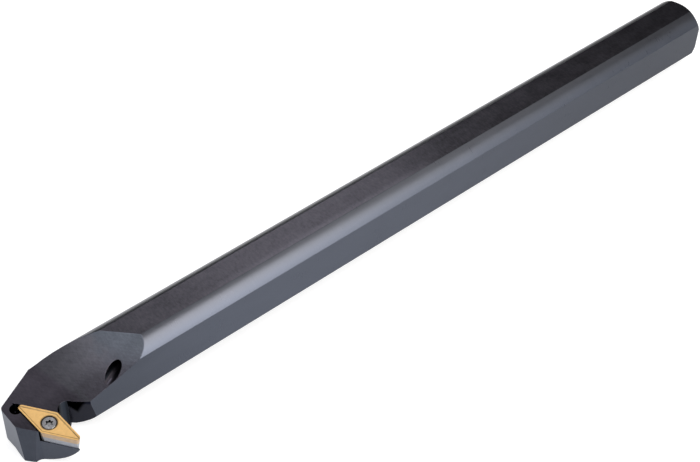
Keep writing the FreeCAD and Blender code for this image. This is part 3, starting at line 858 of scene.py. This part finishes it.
class SetStage(bpy.types.Operator):
    """Set the floor, the lamps and the camera"""

    bl_idname = "boring_bar.set_stage"
    bl_label = "Set stage"

    def execute(self, context):
        settings = context.scene.bar_stage
        context.scene.view_settings.view_transform = "Standard"
        lay_floor(settings)
        stand_flag(settings)
        fill_room(context.scene, settings)
        for name, place, aim, size, brightness, colour in SOFTBOXES:
            hang_softbox(name, place, aim, size, brightness, colour)
        hang_softbox(*TOP_SOFTBOX, settings.top_brightness, WHITE, in_metal=False)
        place_camera(context.scene, settings)
        return {"FINISHED"}


def lay_floor(settings):
    """A pale floor, white for the eye and nearly white in the metal, that keeps the bar's shadow."""
    bpy.ops.object.select_all(action="DESELECT")
    bpy.ops.mesh.primitive_plane_add(size=settings.floor_size, location=(BAR[1].x / 2, 0.0, BAR[0].z))
    floor = bpy.context.object
    floor.name = "studio_floor"
    material, tree = empty_material("studio_floor")
    path = add_node(tree, "LightPath").outputs
    matt = add_node(tree, "BsdfDiffuse", {"Color": (*settings.floor_colour, 1.0)})
    glow = add_node(tree, "Emission", {"Strength": times(tree, path["Is Camera Ray"], settings.floor_glow)})
    laid = add_node(tree, "AddShader", {0: matt.outputs[0], 1: glow.outputs[0]})
    half = settings.floor_in_metal / 2
    lifted = add_node(tree, "Emission", {"Strength": half})
    pale = add_node(tree, "BsdfDiffuse", {"Color": (half, half, half, 1.0)})
    mirrored = add_node(tree, "AddShader", {0: pale.outputs[0], 1: lifted.outputs[0]})
    in_metal = calculate(tree, "MAXIMUM", path["Is Glossy Ray"], path["Is Transmission Ray"])
    seen = add_node(tree, "MixShader", {0: in_metal, 1: laid.outputs[0], 2: mirrored.outputs[0]})
    add_node(tree, "OutputMaterial", {"Surface": seen.outputs[0]})
    dress(floor, material)


def stand_flag(settings):
    """A black card behind the bar that only its metal sees, for the dark line along the rear silhouette."""
    bpy.ops.object.select_all(action="DESELECT")
    bpy.ops.mesh.primitive_plane_add(size=2.0, location=(0.0, 0.0, 0.0))
    flag = bpy.context.object
    flag.name = "black_flag"
    for vertex in flag.data.vertices:
        along = FLAG_ENDS[vertex.co.x > 0.0]
        up = settings.flag_height * (vertex.co.y > 0.0)
        vertex.co = (along, settings.flag_place, BAR[0].z + up)
    material, tree = empty_material("black_flag")
    black = add_node(tree, "BsdfDiffuse", {"Color": FLAG_COLOUR})
    add_node(tree, "OutputMaterial", {"Surface": black.outputs[0]})
    dress(flag, material)
    flag.visible_camera = flag.visible_diffuse = flag.visible_shadow = False


def fill_room(scene, settings):
    """A dim room over the pale floor, darker near the floor and behind the bar's rear end."""
    world = bpy.data.worlds.new("studio_room")
    scene.world = world
    world.use_nodes = True
    tree = world.node_tree
    tree.nodes.clear()
    along, _, up = parts(tree, add_node(tree, "TexCoord").outputs["Object"])
    forward = between(tree, ramp(tree, along, *ROOM_REAR), settings.rear_dimming, 1.0)
    high = between(tree, ramp(tree, up, *ROOM_LOW), settings.horizon_dimming, 1.0)
    colour = shaded(tree, settings.ceiling_colour, times(tree, forward, high))
    room = add_node(tree, "Background", {"Color": colour, "Strength": 1.0})
    add_node(tree, "OutputWorld", {"Surface": room.outputs[0]})


def hang_softbox(name, place, aim, size, brightness, colour, in_metal=True):
    """A rectangular lamp of the given brightness, square to the line from its place to its aim."""
    lamp = bpy.data.lights.new(name, "AREA")
    lamp.shape = "RECTANGLE"
    lamp.size, lamp.size_y = size
    lamp.energy = brightness * size[0] * size[1] * math.pi
    lamp.color = colour
    box = bpy.data.objects.new(name, lamp)
    bpy.context.scene.collection.objects.link(box)
    box.location = place
    box.rotation_mode = "QUATERNION"
    box.rotation_quaternion = (Vector(aim) - Vector(place)).to_track_quat("-Z", "Y")
    box.visible_camera = False
    box.visible_glossy = in_metal


def place_camera(scene, settings):
    """The scene's camera, rolled about its line of sight."""
    data = bpy.data.cameras.new("camera")
    data.sensor_width = SENSOR_WIDTH
    data.lens = settings.lens
    data.clip_start, data.clip_end = CLIP_DISTANCES
    camera = bpy.data.objects.new("camera", data)
    scene.collection.objects.link(camera)
    camera.location = settings.camera_place
    camera.rotation_mode = "QUATERNION"
    level = Vector(settings.camera_view).to_track_quat("-Z", "Y")
    camera.rotation_quaternion = level @ Quaternion((0.0, 0.0, 1.0), settings.camera_roll)
    scene.camera = camera


OPERATORS = [FinishBarBody, FinishInsert, FinishScrew, CutInletThread, SetStage]


class BoringBarPanel(bpy.types.Panel):
    """Steps and settings of the boring bar"""

    bl_idname = "VIEW3D_PT_boring_bar"
    bl_label = "Boring Bar"
    bl_space_type = "VIEW_3D"
    bl_region_type = "UI"
    bl_category = "Boring Bar"

    def draw(self, context):
        for operator in OPERATORS:
            self.layout.operator(operator.bl_idname)
        for name, group in SETTINGS.items():
            box = self.layout.box()
            settings = getattr(context.scene, name)
            for setting in group.__annotations__:
                box.prop(settings, setting)


def register():
    for group in SETTINGS.values():
        bpy.utils.register_class(group)
    for name, group in SETTINGS.items():
        setattr(bpy.types.Scene, name, bpy.props.PointerProperty(type=group))
    for operator in OPERATORS:
        bpy.utils.register_class(operator)
    bpy.utils.register_class(BoringBarPanel)


def unregister():
    bpy.utils.unregister_class(BoringBarPanel)
    for operator in reversed(OPERATORS):
        bpy.utils.unregister_class(operator)
    for name, group in SETTINGS.items():
        delattr(bpy.types.Scene, name)
        bpy.utils.unregister_class(group)


def main():
    register()
    bpy.ops.boring_bar.finish_bar_body()
    bpy.ops.boring_bar.finish_insert()
    bpy.ops.boring_bar.finish_screw()
    bpy.ops.boring_bar.cut_inlet_thread()
    bpy.ops.boring_bar.set_stage()


if __name__ == "__main__":
    main()
